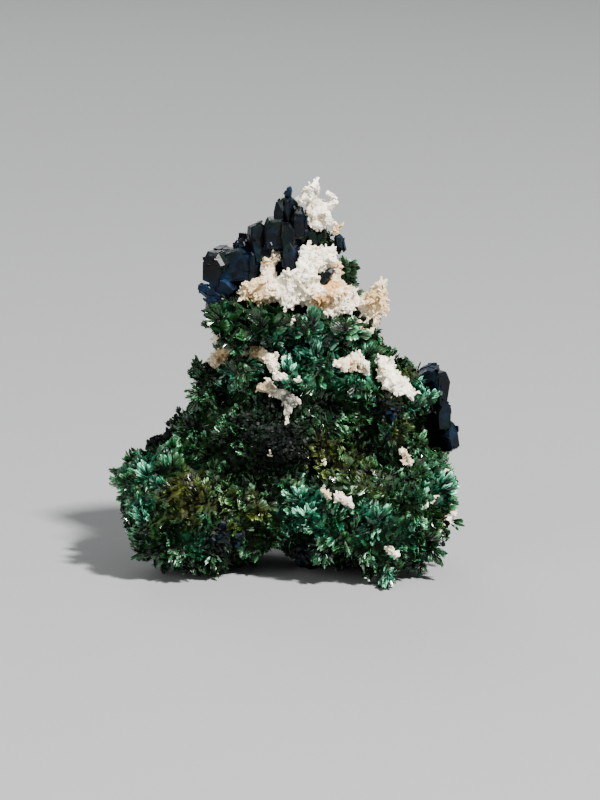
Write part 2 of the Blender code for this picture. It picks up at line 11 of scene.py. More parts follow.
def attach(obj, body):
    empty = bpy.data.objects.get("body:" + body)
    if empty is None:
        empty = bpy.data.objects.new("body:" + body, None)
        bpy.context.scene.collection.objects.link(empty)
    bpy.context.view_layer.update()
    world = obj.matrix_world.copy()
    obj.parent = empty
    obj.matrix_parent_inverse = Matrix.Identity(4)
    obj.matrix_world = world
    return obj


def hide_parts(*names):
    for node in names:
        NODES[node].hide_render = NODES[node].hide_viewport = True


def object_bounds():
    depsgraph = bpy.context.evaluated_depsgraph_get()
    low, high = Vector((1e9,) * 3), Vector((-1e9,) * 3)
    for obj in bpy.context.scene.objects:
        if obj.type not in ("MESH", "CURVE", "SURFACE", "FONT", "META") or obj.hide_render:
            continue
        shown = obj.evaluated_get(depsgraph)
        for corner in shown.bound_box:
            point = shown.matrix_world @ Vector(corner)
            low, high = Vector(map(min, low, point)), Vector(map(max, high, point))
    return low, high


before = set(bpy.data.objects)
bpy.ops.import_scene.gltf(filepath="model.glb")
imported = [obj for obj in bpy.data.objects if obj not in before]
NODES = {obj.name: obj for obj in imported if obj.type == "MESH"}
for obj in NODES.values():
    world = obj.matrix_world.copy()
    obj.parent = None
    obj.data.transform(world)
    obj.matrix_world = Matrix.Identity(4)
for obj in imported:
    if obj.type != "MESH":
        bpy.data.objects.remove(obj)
CAD_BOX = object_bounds()
MASS = "malachite_mass"

MM = 0.001
SEED = 11
# Without a seed, the noise vectors would differ from run to run.
noise.seed_set(SEED)

# The photograph's plane of view: millimetres to a pixel, its elevation, and the pixel of its origin.
# The two shifts are what the model's origin, the middle of its base, lies off from that origin.
PIXEL = 0.093
IMAGE_CENTRE = (300, 400)
IMAGE_HEIGHT = 800
ORIGIN_PX = (285.5, 568.0)
ELEVATION = math.radians(12)
COS_VIEW = math.cos(ELEVATION)
SIN_VIEW = math.sin(ELEVATION)
SHIFT_RIGHT = 0.043
SHIFT_BACK = 0.238
TOWARDS = np.array((0.0, -COS_VIEW, SIN_VIEW))
UPWARDS = np.array((0.0, SIN_VIEW, COS_VIEW))
AWAY = Vector(-TOWARDS)
RAY_START = -40.0

# Spots fade outwards from their middle, and towards the back, where noise gives patches instead.
SPOT_FADE = 1.2
FRONT_FADE = 2.0
PATCH_LEVEL = 0.35
PATCH_SHARPNESS = 3.0
PATCH_SHIFT = (3.1, 1.7, 2.3)
SLICE_STEP = 2.0
SLICE_HALF = 1.5

# Meshes: the share of its neighbours in a smoothed value, and the room past the solids' box
NEIGHBOUR_SHARE = 0.65
BOX_MARGIN = 0.022

# The malachite's ground, in millimetres: noise as cell and share
SKIN_VOXEL = 0.23
SKIN_SINK = 0.42
SKIN_ROUGHNESS = 0.3
SKIN_NOISE = ((0.9, 0.6), (0.4, 0.4))
SKIN_ROUNDS = 3
RESTING_HEIGHT = 0.05
BARE_HEIGHT = 0.3

# Leaves are fans of grown-together fibres. Lengths are in millimetres or shares of a leaf's reach.
FAN_SPACING = 0.66
FAN_REACH = 1.15
FLOW_CELL = 2.6
FLOW_LOOSE = 0.45
FLOW_RISE = 0.35
STAND_RANGE = (0.2, 0.95)
STAND_SHIFT = (9, 4, 2)
TONE_CELL = 3.2
TONE_FINE_CELL = 1.2
LEAST_ROOM = 0.35
UNDER_HEIGHT = 0.6
HIDING_DEPTH = 3.5
HIDING_SLACK = 0.6
LEAF_RINGS = (0.5, 0.88, 1.0)
LEAF_LINE = 0.095
LEAF_JITTER = 0.03
LEAF_RIDGE = 0.03
LEAF_RAGGED = 0.13
LEAF_TEETH = 0.04
LEAF_ROUNDING = 0.28
LEAF_WAVE = 0.16
LEAF_BULGE = 0.1
LEAF_ROUGHNESS = 0.02
LEAF_THICKNESS = 0.05
LEAF_TONE = 0.17
PLACED_LEAVES = 13
PLACED_START = 0.42
PLACED_REACH = (0.42, 0.66)
PLACED_SPREAD = (0.15, 0.32)
PLACED_TONE = (0.5, 1.15)
LEAVES_PER_PIECE = 1600

# Fibres and needles are pointed blades, in millimetres and shares of their length.
WAIST = 0.62
BLADE_WIDTH = 0.11
BLADE_THICKNESS = 0.6
# How light a blade's five points are from root to tip: painted shade at the root, lighter at the tip
BLADE_ALONG = (0.2, 0.8, 0.8, 0.8, 1.0)
FIBRES = 7
FIBRE_START = (0.25, 0.65)
FIBRE_END = (0.9, 1.13)
# A share of the fibres is made lighter by a painted glint
GLINT_SHARE = 0.06
GLINT = 0.4
NEEDLES = 11000
NEEDLE_CLEAR = 0.5
NEEDLE_LEAN = 0.75
NEEDLE_LENGTH = (0.5, 1.15)
NEEDLE_WIDTH = (0.06, 0.13)
NEEDLE_DEPTH = 0.62
BLADES_PER_PIECE = 24000

# Dark grains, in millimetres
GRAINS = 4500
GRAIN_SIZE = (0.07, 0.17)
GRAIN_LIFT = 0.05
GRAIN_ELSEWHERE = 0.02

# White crusts, in millimetres, and how many crystals they have to a square millimetre
WHITE_VOXEL = 0.12
WHITE_ROUNDS = 4
WHITE_NOISE = ((0.75, 1.0), (0.33, 0.45))
WHITE_NOISE_MIDDLE = 0.5
WHITE_SINK = 0.02
WHITE_ROUGHNESS = 0.3
WHITE_BLOCKS = 1.9
WHITE_BLOCK_SIZE = (0.1, 0.24)
WHITE_SPEARS = 0.3
WHITE_SPEAR_LENGTH = (0.45, 0.95)

# Azurite: small steps and laths on the crystals, in millimetres
LATHS = 0.6
LATHS_MOST = 150
STEP_SHARE = 0.75
STEP_SIZE = (0.16, 0.36)
LATH_SIZE = (0.1, 0.2)

# The tiny crystals among the green, in millimetres
BIT_LIFT = 0.55
WHITE_BIT_SIZE = (0.07, 0.15)
WHITE_BIT_SCATTER_PX = 0.6
DARK_BIT_LIFT = 0.33
DARK_BIT_SIZE = (0.16, 0.34)

# Colours from between the fibres to their tips: the dark end is painted shade between the fibres, and the
# brightest end is a painted glint
GREENS = [
    (0.0, (0.0002, 0.0008, 0.0004)), (0.24, (0.0011, 0.0042, 0.0009)), (0.44, (0.003, 0.014, 0.0026)),
    (0.66, (0.0062, 0.037, 0.0068)), (0.9, (0.034, 0.15, 0.05)), (1.0, (0.17, 0.42, 0.23)),
]
TEALS = [
    (0.0, (0.0002, 0.0012, 0.0008)), (0.24, (0.0005, 0.007, 0.0035)), (0.44, (0.0012, 0.027, 0.0125)),
    (0.66, (0.004, 0.08, 0.04)), (0.9, (0.045, 0.28, 0.165)), (1.0, (0.3, 0.75, 0.54)),
]
OLIVES = [
    (0.0, (0.0005, 0.0009, 0.0001)), (0.24, (0.0033, 0.0045, 0.0003)), (0.44, (0.012, 0.0135, 0.0007)),
    (0.66, (0.029, 0.031, 0.002)), (0.9, (0.065, 0.075, 0.01)), (1.0, (0.2, 0.23, 0.06)),
]
DARKS = [
    (0.0, (0.0001, 0.0003, 0.0002)), (0.24, (0.0006, 0.0014, 0.0011)), (0.44, (0.0017, 0.0045, 0.003)),
    (0.66, (0.005, 0.015, 0.01)), (1.0, (0.02, 0.06, 0.042)),
]
TONE_GAIN = 0.88
TONE_BASE = 0.4
WHITE = (0.9, 0.85, 0.71)
WHITE_DEEP = (0.7, 0.6, 0.43)
CREAM = (0.54, 0.38, 0.19)
GREY = (0.075, 0.075, 0.06)
STAIN = (0.5, 0.28, 0.09)
WHITE_SCATTER = (0.5 * MM, 0.4 * MM, 0.3 * MM)
AZURITES = [
    (0.4, (0.001, 0.0014, 0.0024)), (0.55, (0.0012, 0.0032, 0.0065)), (0.68, (0.0018, 0.008, 0.02)),
]
AZURITE_GREEN = (0.0009, 0.0045, 0.0028)
AZURITE_BLUE = (0.003, 0.016, 0.042)
AZURITE_BROWN = (0.012, 0.01, 0.007)

# Stage, lights and camera, in metres and millimetres of lens
FLOOR_COLOUR = (0.22, 0.222, 0.22)
FLOOR_ROUGHNESS = 0.9
FLOOR_HALF = 4.0
WORLD_COLOUR = (0.9, 0.95, 1.0)
WORLD_STRENGTH = 0.4
CAMERA_LENS = 169.0
CAMERA_SENSOR = 36.0
LIGHTS = [
    ("key", (0.26, -0.34, 0.52), 0.06, 19.0),
    ("fill", (-0.5, -0.5, 0.35), 0.4, 2.4),
    ("rim", (-0.15, 0.5, 0.4), 0.3, 2.0),
]

# Named spots of the photograph: pixel right, pixel down, radius in pixels, strength
TEAL_SPOTS = [
    (285, 362, 34, 1.0), (320, 350, 26, 0.8), (312, 320, 13, 0.8), (228, 378, 13, 0.9), (311, 508, 34, 1.0),
    (418, 388, 24, 0.9), (440, 484, 22, 0.9), (150, 465, 26, 0.8), (142, 508, 18, 0.7), (392, 432, 16, 0.8),
    (350, 372, 30, 0.7), (372, 520, 26, 0.7), (400, 545, 22, 0.6), (235, 320, 24, 0.2), (200, 540, 22, 0.4),
    (385, 575, 12, 0.8),
]
OLIVE_SPOTS = [
    (192, 495, 34, 1.1), (322, 458, 30, 1.1), (402, 434, 16, 0.9), (385, 400, 12, 1.3), (360, 470, 26, 0.8),
    (255, 505, 30, 0.85), (445, 520, 16, 0.5), (230, 530, 20, 0.6), (270, 465, 20, 0.5), (410, 375, 16, 0.6),
]
DRUSE_SPOTS = [
    (280, 440, 36, 1.0), (250, 425, 22, 0.8), (222, 542, 18, 1.0), (297, 562, 24, 0.9), (388, 408, 16, 1.0),
    (270, 400, 24, 0.7), (232, 440, 20, 0.5), (405, 480, 18, 0.5), (330, 410, 18, 0.5),
]
STAIN_SPOTS = [
    (334, 290, 20, 1.0), (322, 302, 16, 0.9), (340, 268, 10, 0.8), (330, 278, 12, 0.5), (312, 292, 12, 0.5),
    (372, 300, 14, 0.35),
]
CREAM_SPOTS = [
    (325, 491, 12, 0.8), (343, 498, 12, 0.5), (404, 456, 12, 0.8), (388, 551, 8, 0.5), (255, 292, 26, 1.0),
    (268, 262, 16, 0.8), (252, 354, 20, 0.9), (352, 366, 14, 0.8), (262, 388, 14, 0.9), (378, 300, 26, 1.0),
    (372, 325, 16, 0.8), (298, 212, 8, 1.2), (222, 356, 16, 1.0), (217, 334, 12, 1.0), (262, 362, 12, 0.6),
    (341, 358, 12, 0.6), (336, 230, 8, 1.2),
]
GREY_SPOTS = [(288, 400, 15, 1.0), (270, 392, 18, 0.6)]
SHELL_SPOTS = [
    (235, 318, 24, 1.0), (268, 325, 24, 1.0), (300, 322, 22, 1.0), (335, 332, 20, 1.0), (215, 322, 16, 0.9),
    (350, 275, 12, 0.8), (360, 350, 14, 0.5), (425, 362, 14, 0.6),
]
BLUE_SPOTS = [
    (210, 293, 13, 1.0), (225, 283, 10, 0.8), (254, 266, 7, 0.7), (288, 264, 7, 0.7), (291, 192, 6, 0.8),
]
BROWN_SPOTS = [
    (218, 264, 11, 0.9), (240, 262, 9, 0.8), (279, 233, 9, 0.8), (283, 212, 7, 0.6), (302, 240, 5, 0.5),
]
# Areas of colour or surface: their spots, and for the back the size of their patches in millimetres,
# what is added to their share, and a number that sets their noise apart
AREAS = {
    "druse": (DRUSE_SPOTS, 5.0, 0.05, 1),
    "teal": (TEAL_SPOTS, 6.0, 0.15, 2),
    "olive": (OLIVE_SPOTS, 4.5, 0.1, 3),
    "stain": (STAIN_SPOTS, 3.0, 0.1, 4),
    "cream": (CREAM_SPOTS, 2.5, 0.2, 5),
    "grey": (GREY_SPOTS, 3.0, 0.0, 6),
    "shell": (SHELL_SPOTS, 5.0, 0.05, 7),
    "blue": (BLUE_SPOTS, 3.0, 0.15, 8),
    "brown": (BROWN_SPOTS, 3.0, 0.15, 9),
}

# Tiny white crystals seen among the green: pixel right, pixel down, length in pixels, direction, number
WHITE_BITS = [
    (293, 322, 7, 60, 5), (285, 358, 5, 20, 4), (287, 420, 6, 90, 5), (271, 452, 4, 90, 3),
    (324, 460, 4, 90, 3), (404, 358, 5, 30, 4), (443, 472, 9, 55, 5), (430, 500, 16, 40, 6),
    (299, 380, 5, 0, 3),
]
# Tiny dark crystals near the lower edge and in the brown pit: pixel right, pixel down, spread, number
DARK_BITS = [
    (220, 533, 9, 12), (237, 536, 5, 5), (299, 552, 8, 10),
    (374, 404, 5, 5), (393, 396, 6, 5), (388, 412, 5, 4),
]

# Fans given one by one: pixel right, pixel down, pixels from root to tip, direction in degrees from the
# right, half spread in degrees, and how pale they are
PLACED_FANS = [
    (308, 334, 26, 62, 46, 0.65), (285, 376, 22, 98, 50, 0.9), (240, 392, 16, 110, 42, 0.8),
    (228, 398, 18, 75, 40, 0.8), (394, 446, 34, 100, 34, 0.55), (412, 452, 22, 60, 40, 0.6),
    (308, 520, 26, 110, 48, 0.9), (332, 524, 30, 72, 44, 0.85), (352, 530, 24, 50, 46, 0.6),
    (300, 500, 20, 132, 40, 0.7), (290, 540, 22, 168, 44, 0.5), (322, 548, 20, -100, 46, 0.4),
    (360, 552, 18, -70, 46, 0.5), (385, 566, 22, -92, 34, 0.7), (340, 505, 22, 30, 40, 0.7),
    (150, 478, 26, 128, 46, 0.75), (132, 486, 20, 165, 44, 0.5), (170, 470, 26, 84, 46, 0.55),
    (148, 520, 22, 140, 44, 0.7), (180, 545, 22, -110, 44, 0.5), (212, 552, 18, -80, 44, 0.4),
    (425, 400, 24, 62, 46, 0.6), (405, 392, 24, 128, 46, 0.6), (436, 490, 28, 40, 48, 0.8),
    (446, 520, 22, -20, 44, 0.6), (428, 545, 24, -60, 44, 0.5), (372, 470, 22, 108, 44, 0.45),
    (340, 372, 26, 80, 48, 0.55), (315, 360, 26, 108, 46, 0.7), (365, 360, 24, 60, 46, 0.5),
    (225, 322, 26, 150, 46, 0.45), (262, 332, 26, 96, 48, 0.35), (340, 340, 22, 70, 44, 0.35),
    (205, 372, 18, 150, 42, 0.4), (202, 392, 18, 172, 42, 0.4), (195, 430, 26, 140, 46, 0.5),
    (232, 440, 24, 112, 44, 0.35), (205, 505, 28, 100, 48, 0.4), (245, 512, 26, 82, 46, 0.35),
    (352, 448, 26, 96, 46, 0.4), (325, 470, 26, 112, 44, 0.4), (400, 505, 26, 84, 46, 0.6),
    (375, 520, 26, 60, 44, 0.6), (412, 530, 22, 30, 44, 0.55),
]


# The photograph's plane of view. Everything below is worked out in millimetres.

def seen(px, py, y=0.0):
    """The point at depth y that is seen at a pixel of the photograph."""
    up = (ORIGIN_PX[1] - py) * PIXEL
    x = (px - ORIGIN_PX[0]) * PIXEL - SHIFT_RIGHT
    return np.array((x, y, (up - (y + SHIFT_BACK) * SIN_VIEW) / COS_VIEW))


def pixels_of(points):
    """Where points are seen, as pixels right and down."""
    right = (points[:, 0] + SHIFT_RIGHT) / PIXEL + ORIGIN_PX[0]
    up = points[:, 2] * COS_VIEW + (points[:, 1] + SHIFT_BACK) * SIN_VIEW
    return np.stack((right, ORIGIN_PX[1] - up / PIXEL), 1)


def area_weight(points, area):
    """How strongly points lie in an area: in its spots on the front, and in patches of noise on the back."""
    spots, patch_cell, patch_share, seed = AREAS[area]
    px = pixels_of(points)
    weight = np.zeros(len(points))
    for right, down, radius, strength in spots:
        away = ((px[:, 0] - right) ** 2 + (px[:, 1] - down) ** 2) / radius ** 2
        weight = np.maximum(weight, strength * np.exp(-SPOT_FADE * away))
    shift = Vector([seed * step for step in PATCH_SHIFT])
    patches = np.array([noise.noise(Vector(p) / patch_cell + shift) for p in points])
    patches = np.clip((patches - PATCH_LEVEL + patch_share) * PATCH_SHARPNESS, 0, 1)
    front = np.clip(0.5 - (points[:, 1] - np.interp(points[:, 2], *MIDDLE)) / FRONT_FADE, 0, 1)
    return np.clip(weight * front + patches * (1 - front), 0, 1)


# Meshes

def to_numpy(mesh):
    """Vertices, vertex normals and triangles of a mesh, in millimetres."""
    mesh.calc_loop_triangles()
    points = np.zeros(len(mesh.vertices) * 3)
    mesh.vertices.foreach_get("co", points)
    normals = np.zeros(len(mesh.vertices) * 3)
    mesh.vertices.foreach_get("normal", normals)
    triangles = np.zeros(len(mesh.loop_triangles) * 3, np.int32)
    mesh.loop_triangles.foreach_get("vertices", triangles)
    return points.reshape(-1, 3) / MM, normals.reshape(-1, 3), triangles.reshape(-1, 3)


def make_piece(name, points, triangles, material, attributes, replaced=()):
    """A piece of the object from points in millimetres, riding on the object's one body."""
    mesh = bpy.data.meshes.new(name)
    mesh.vertices.add(len(points))
    mesh.vertices.foreach_set("co", (points * MM).ravel())
    mesh.loops.add(len(triangles) * 3)
    mesh.loops.foreach_set("vertex_index", triangles.ravel().astype(np.int32))
    mesh.polygons.add(len(triangles))
    mesh.polygons.foreach_set("loop_start", np.arange(0, len(triangles) * 3, 3, dtype=np.int32))
    mesh.polygons.foreach_set("use_smooth", np.zeros(len(triangles), bool))
    mesh.update(calc_edges=True)
    for key, values in attributes.items():
        layer = mesh.attributes.new(key, "FLOAT", "POINT")
        layer.data.foreach_set("value", values.astype(np.float32))
    mesh.materials.append(material)
    obj = bpy.data.objects.new(name, mesh)
    bpy.context.scene.collection.objects.link(obj)
    if replaced:
        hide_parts(*replaced)
    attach(obj, "root")


def remeshed(node, voxel):
    """A node's surface as an even fine mesh, in millimetres, with its vertices in a fixed order."""
    mesh = NODES[node].data.copy()
    mesh.transform(Matrix.Scale(1 / MM, 4))
    scratch = bpy.data.objects.new("scratch", mesh)
    bpy.context.scene.collection.objects.link(scratch)
    remesh = scratch.modifiers.new("remesh", "REMESH")
    remesh.mode = "VOXEL"
    remesh.voxel_size = voxel
    graph = bpy.context.evaluated_depsgraph_get()
    fine = bpy.data.meshes.new_from_object(scratch.evaluated_get(graph), depsgraph=graph)
    bpy.data.objects.remove(scratch)
    bpy.data.meshes.remove(mesh)
    fine.transform(Matrix.Scale(MM, 4))
    points, normals, triangles = to_numpy(fine)
    bpy.data.meshes.remove(fine)
    order = np.lexsort(points.T)
    rank = np.empty(len(order), np.int32)
    rank[order] = np.arange(len(order))
    triangles = rank[triangles]
    return points[order], normals[order], triangles[np.lexsort(triangles.T)]


def smoothed(values, triangles, rounds):
    """Values of vertices, averaged over their neighbours a number of times."""
    ends = np.concatenate([triangles[:, (0, 1)], triangles[:, (1, 2)], triangles[:, (2, 0)]])
    count = np.bincount(ends.ravel(), minlength=len(values))[:, None]
    for _ in range(rounds):
        total = np.zeros_like(values)
        np.add.at(total, ends[:, 0], values[ends[:, 1]])
        np.add.at(total, ends[:, 1], values[ends[:, 0]])
        mean = total / np.maximum(count, 1)
        values = (1 - NEIGHBOUR_SHARE) * values + NEIGHBOUR_SHARE * mean
    return values


def unit(vectors):
    return vectors / np.maximum(np.linalg.norm(vectors, axis=1, keepdims=True), 1e-9)


def thinned(points, spacing, rng):
    """Indices of points picked in random order, each at least the spacing from the others."""
    cells = {}
    picked = []
    for index in rng.permutation(len(points)):
        point = points[index]
        key = tuple(np.floor(point / spacing).astype(int))
        near = [
            other
            for dx in (-1, 0, 1) for dy in (-1, 0, 1) for dz in (-1, 0, 1)
            for other in cells.get((key[0] + dx, key[1] + dy, key[2] + dz), ())
        ]
        if all(np.dot(other - point, other - point) >= spacing ** 2 for other in near):
            cells.setdefault(key, []).append(point)
            picked.append(index)
    return np.array(picked)


def kept_in_box(points):
    """Points held inside the solids' box, but for a small margin, and above what the specimen stands on."""
    lo = np.array(CAD_BOX[0]) / MM
    hi = np.array(CAD_BOX[1]) / MM
    margin = (hi - lo) * BOX_MARGIN
    points = np.clip(points, lo - margin, hi + margin)
    points[:, 2] = np.maximum(points[:, 2], 0.0)
    return points


def crossways(axes, rng):
    """A random unit vector at right angles to each axis."""
    return unit(np.cross(axes, rng.normal(size=axes.shape)))


def middle_depths():
    """Heights, and the depth halfway between the front and the back of the mass at each of them."""
    points = to_numpy(NODES[MASS].data)[0]
    heights = np.arange(1.0, points[:, 2].max(), SLICE_STEP)
    middles = []
    for height in heights:
        depths = points[np.abs(points[:, 2] - height) < SLICE_HALF][:, 1]
        middles.append((depths.min() + depths.max()) / 2)
    return heights, np.array(middles)


MIDDLE = middle_depths()


# Malachite

def blades(roots, directions, sides, lengths, widths, thickness=BLADE_THICKNESS):
    """Thin pointed blades, three-sided at the waist: five points and six triangles each."""
    across = np.cross(sides, directions)
    waist = roots + directions * (lengths * WAIST)[:, None]
    half = (widths / 2)[:, None]
    points = np.stack([
        roots,
        waist + sides * half,
        waist + across * half * thickness,
        waist - sides * half,
        roots + directions * lengths[:, None],
    ], 1)
    one = np.array([(0, 2, 1), (0, 3, 2), (0, 1, 3), (4, 1, 2), (4, 2, 3), (4, 3, 1)])
    count = len(roots)
    triangles = (one[None] + 5 * np.arange(count)[:, None, None]).reshape(-1, 3)
    return points.reshape(-1, 3), triangles


def leaf(root, axis, out, reach, spread, curl, pale, rough, rng):
    """A fan of grown-together fibres: a ridged sheet with a ragged rim, closed behind by a plain one.

    Gives its points, triangles, and for each point how far along it is, which the material makes darker
    towards the root as painted shade, and its tone.
    """
    lines = 2 * int(2.0 + reach * spread / LEAF_LINE) + 1
    side = np.cross(out, axis)
    angle = np.linspace(-spread, spread, lines) + rng.normal(0, LEAF_JITTER, lines)
    ridge = np.where(np.arange(lines) % 2, 1.0, -1.0)
    ragged = rng.normal(0, LEAF_RAGGED, lines)
    ragged = rough * (ragged + np.roll(ragged, 1) + LEAF_TEETH * ridge)
    length = reach * (1 - LEAF_ROUNDING * (angle / spread) ** 2) * (1 + ragged * min(1.0, 0.8 / reach))
    wave = LEAF_WAVE * reach * np.sin(angle * rng.uniform(3, 8) + rng.uniform(0, 6))
    ray = np.cos(angle)[:, None] * axis + np.sin(angle)[:, None] * side
    rings = []
    for part in LEAF_RINGS:
        lift = curl * reach * part ** 2 + wave * part + LEAF_RIDGE * ridge * rough * min(1.0, 1.3 * part)
        lift += LEAF_BULGE * reach * math.sin(math.pi * min(part, 0.95))
        lift += rng.normal(0, LEAF_ROUGHNESS * rough, lines)
        rings.append(root + ray * (length * part)[:, None] + lift[:, None] * out)
    points = np.concatenate([root[None], *rings, (root - LEAF_THICKNESS * out)[None]])
    first = np.arange(lines - 1)
    faces = [np.stack((np.zeros_like(first), 1 + first, 2 + first), 1)]
    for ring in range(len(LEAF_RINGS) - 1):
        low = 1 + ring * lines + first
        high = low + lines
        faces += [np.stack((low, high, high + 1), 1), np.stack((low, high + 1, low + 1), 1)]
    rim = 1 + (len(LEAF_RINGS) - 1) * lines
    behind = len(points) - 1
    faces.append(np.stack((np.full_like(first, behind), rim + first + 1, rim + first), 1))
    for start, step in ((0, 1), (lines - 1, -1)):
        edge = [0] + [1 + ring * lines + start for ring in range(len(LEAF_RINGS))]
        faces.append(np.array([(behind, b, a)[::step] for a, b in zip(edge[:-1], edge[1:])]))
    tone = pale + rng.normal(0, LEAF_TONE * rough ** 1.5, lines)
    along = np.concatenate([[0.0], *(np.full(lines, part) for part in LEAF_RINGS), [0.0]])
    tones = np.concatenate([[pale], *(tone for _ in LEAF_RINGS), [pale]])
    return points, np.concatenate(faces), along, np.clip(tones, 0, 1)


def fibres(root, axis, out, reach, spread, curl, pale, rough, rng):
    """Single fibres lying on a leaf and reaching over its rim."""
    side = np.cross(out, axis)
    count = int(FIBRES * rough)
    angle = rng.uniform(-spread, spread, count)
    ray = np.cos(angle)[:, None] * axis + np.sin(angle)[:, None] * side
    start = rng.uniform(*FIBRE_START, count) * reach
    end = reach * (1 - LEAF_ROUNDING * (angle / spread) ** 2) * rng.uniform(*FIBRE_END, count)
    lifted = curl * reach * 0.9 + rng.normal(0.06, 0.08, count) * reach
    direction = unit(ray * (end - start)[:, None] + lifted[:, None] * out * 0.7)
    roots = root + ray * start[:, None] + (0.1 * reach) * out
    width = BLADE_WIDTH * rng.uniform(0.5, 1.1, count)
    # A share of the fibres gets a painted glint added to its tone
    tone = pale + rng.normal(0.06, 0.16, count) + np.where(rng.random(count) < GLINT_SHARE, GLINT, 0.0)
    tone = np.clip(tone, 0, 1)
    return roots, direction, unit(np.cross(out[None], direction)), end - start, width, tone


def ray_hit(tree, px, py):
    """The point and normal of the mass seen at a pixel, or nothing."""
    point, normal, _, _ = tree.ray_cast(Vector(seen(px, py, RAY_START)), AWAY)
    return (np.array(point), np.array(normal)) if point else (None, None)


def leaf_frame(normal, towards, stand, roll):
    """The axis of a leaf that leans from a normal towards a direction, and the way its face looks."""
    axis = stand * normal + (1.25 - stand) * towards
    axis /= np.linalg.norm(axis)
    out = normal - (normal @ axis) * axis
    out /= max(np.linalg.norm(out), 1e-6)
    side = np.cross(out, axis)
    out = math.cos(roll) * out + math.sin(roll) * side
    return axis, out


def scattered_leaves(points, normals, clear, rng):
    """Leaves all over the mass. Most lean upwards, and those in a druse or beside a crust are short."""
    made = []
    druse = area_weight(points, "druse")
    shell = area_weight(points, "shell")
    for index in thinned(points, FAN_SPACING, rng):
        normal = normals[index]
        room = clear[index]
        if room < LEAST_ROOM or (points[index][2] < UNDER_HEIGHT and normal[2] < -0.6):
            continue
        place = Vector(points[index])
        flow = np.array(noise.noise_vector(place / FLOW_CELL))
        towards = rng.normal(size=3)
        towards = FLOW_LOOSE * towards / np.linalg.norm(towards) + flow / max(np.linalg.norm(flow), 1e-3)
        towards[2] += FLOW_RISE
        towards -= (towards @ normal) * normal
        towards /= max(np.linalg.norm(towards), 1e-6)
        smooth = shell[index]
        if smooth > 0.5 and rng.random() < 0.5:
            continue
        reach = FAN_REACH * (0.5 + 1.15 * rng.beta(1.6, 2.4)) * (1 - 0.35 * druse[index])
        reach *= (1 + 0.5 * smooth) * min(1.0, 0.45 + room / 3)
        stand = np.clip(0.55 + 0.9 * noise.noise(place / FLOW_CELL + Vector(STAND_SHIFT)), *STAND_RANGE)
        axis, out = leaf_frame(normal, towards, stand, rng.normal(0, 0.85 - 0.5 * smooth))
        root = points[index] - normal * (0.5 * reach) - towards * (0.3 * reach)
        patch = 0.7 * noise.noise(place / TONE_CELL) + 0.8 * noise.noise(place / TONE_FINE_CELL)
        pale = 0.12 + 0.72 * rng.beta(1.6, 2.6) + 0.5 * patch - 0.15 * druse[index] - 0.32 * smooth
        spread = rng.uniform(0.25, 0.68) + 0.5 * smooth
        rough = 1.0 - 0.8 * smooth
        made.append((root, axis, out, reach, spread, rng.normal(0.02, 0.2), np.clip(pale, 0.03, 1), rough))
    return made


def hides_a_crust(made, tree, minerals):
    """Whether a leaf stands in front of a crust or crystal in the photograph's view."""
    root, axis, out, reach, spread, *_ = made
    side = np.cross(out, axis)
    for part, turn in ((0.4, 0), (1.0, 0), (0.85, spread), (0.85, -spread)):
        tip = Vector(root + (axis * math.cos(turn) + side * math.sin(turn)) * (reach * part))
        behind = minerals.ray_cast(tip, AWAY, HIDING_DEPTH)[3]
        mass = tree.ray_cast(tip, AWAY, HIDING_DEPTH)[3]
        if behind is not None and (mass is None or behind < mass + HIDING_SLACK):
            return True
    return False


def placed_leaves(tree, rng):
    """The larger fans seen in the photograph, each made of small leaves that spread from one root."""
    made = []
    for px, py, length, direction, half, pale in PLACED_FANS:
        point, normal = ray_hit(tree, px, py)
        if point is None:
            continue
        shell = area_weight(point[None], "shell")[0]
        for _ in range(PLACED_LEAVES):
            off = rng.uniform(-1, 1)
            turn = math.radians(direction + off * half)
            flat = math.cos(turn) * np.array((1.0, 0, 0)) + math.sin(turn) * UPWARDS
            axis = flat + rng.uniform(0.0, 0.45) * TOWARDS
            axis /= np.linalg.norm(axis)
            out = TOWARDS - (TOWARDS @ axis) * axis + rng.normal(0, 0.2, 3)
            out -= (out @ axis) * axis
            out /= np.linalg.norm(out)
            whole = length * PIXEL * (1 - 0.2 * off ** 2)
            start = rng.uniform(0, PLACED_START) * whole
            root = point - 0.2 * normal + axis * start - 0.12 * rng.random() * normal
            reach = whole * rng.uniform(*PLACED_REACH)
            tone = pale * rng.uniform(*PLACED_TONE) * (1 - 0.6 * shell)
            spread = rng.uniform(*PLACED_SPREAD) + 0.4 * shell
            made.append((root, axis, out, reach, spread, rng.normal(-0.05, 0.1), tone, 1 - 0.7 * shell))
    return made


def needles(points, normals, rng):
    """Short single needles that fill the ground between the fans."""
    picked = rng.choice(len(points), NEEDLES)
    direction = unit(normals[picked] + NEEDLE_LEAN * unit(rng.normal(size=(NEEDLES, 3))))
    length = rng.uniform(*NEEDLE_LENGTH, NEEDLES)
    start = points[picked] - normals[picked] * (NEEDLE_DEPTH * length)[:, None]
    width = rng.uniform(*NEEDLE_WIDTH, NEEDLES)
    tone = np.clip(rng.normal(0.22, 0.16, NEEDLES), 0, 1)
    return start, direction, crossways(direction, rng), length, width, tone


def tone_attributes(places, along, tone, corners=1):
    """What the malachite's colour follows: a number for each point, from the place of each blade."""
    values = {area: area_weight(places, area) for area in ("teal", "olive", "druse")}
    values["tone"] = tone
    values = {key: np.repeat(numbers, corners) for key, numbers in values.items()}
    values["along"] = along
    return values


